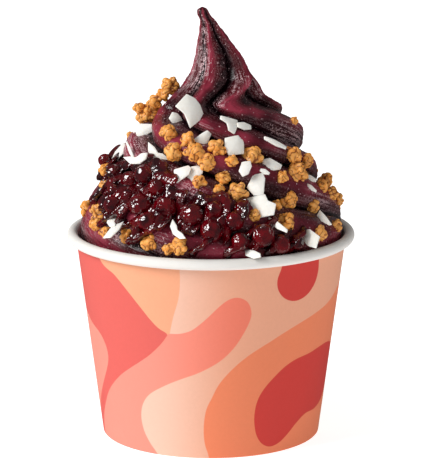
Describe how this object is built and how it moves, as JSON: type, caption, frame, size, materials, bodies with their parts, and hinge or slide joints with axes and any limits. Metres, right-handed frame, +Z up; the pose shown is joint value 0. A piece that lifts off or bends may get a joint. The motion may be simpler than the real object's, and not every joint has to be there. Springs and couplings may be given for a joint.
{
  "type": "cup of acai",
  "caption": "Squat paper cup with a rolled rim, filled with a tall twisted swirl of acai soft serve, topped with granola, berries and coconut flakes.",
  "frame": {"origin": "centre of the cup's foot, on the surface it stands on", "axes": "+Z up along the cup's axis, -Y towards the side with the berries"},
  "size_m": [0.097, 0.097, 0.1452],
  "materials": {
    "printed_paper": "satin-coated paper printed with coral and peach curves",
    "white_paper": "plain coated paper",
    "acai": "frozen fruit puree, softly glossy, with golden granola and white coconut fused on",
    "glazed_berry": "wet, syrup-glazed"
  },
  "bodies": {
    "root": {"cup_wall": "printed_paper", "cup_base": "white_paper", "acai": "acai", "berry_01": "glazed_berry", "berry_02": "glazed_berry", "berry_03": "glazed_berry", "berry_04": "glazed_berry", "berry_05": "glazed_berry", "berry_06": "glazed_berry", "berry_07": "glazed_berry", "berry_08": "glazed_berry", "berry_09": "glazed_berry", "berry_10": "glazed_berry", "berry_11": "glazed_berry", "berry_12": "glazed_berry", "berry_13": "glazed_berry", "berry_14": "glazed_berry", "berry_15": "glazed_berry", "berry_16": "glazed_berry", "berry_17": "glazed_berry", "berry_18": "glazed_berry", "berry_19": "glazed_berry", "berry_20": "glazed_berry"}
  },
  "joints": []
}
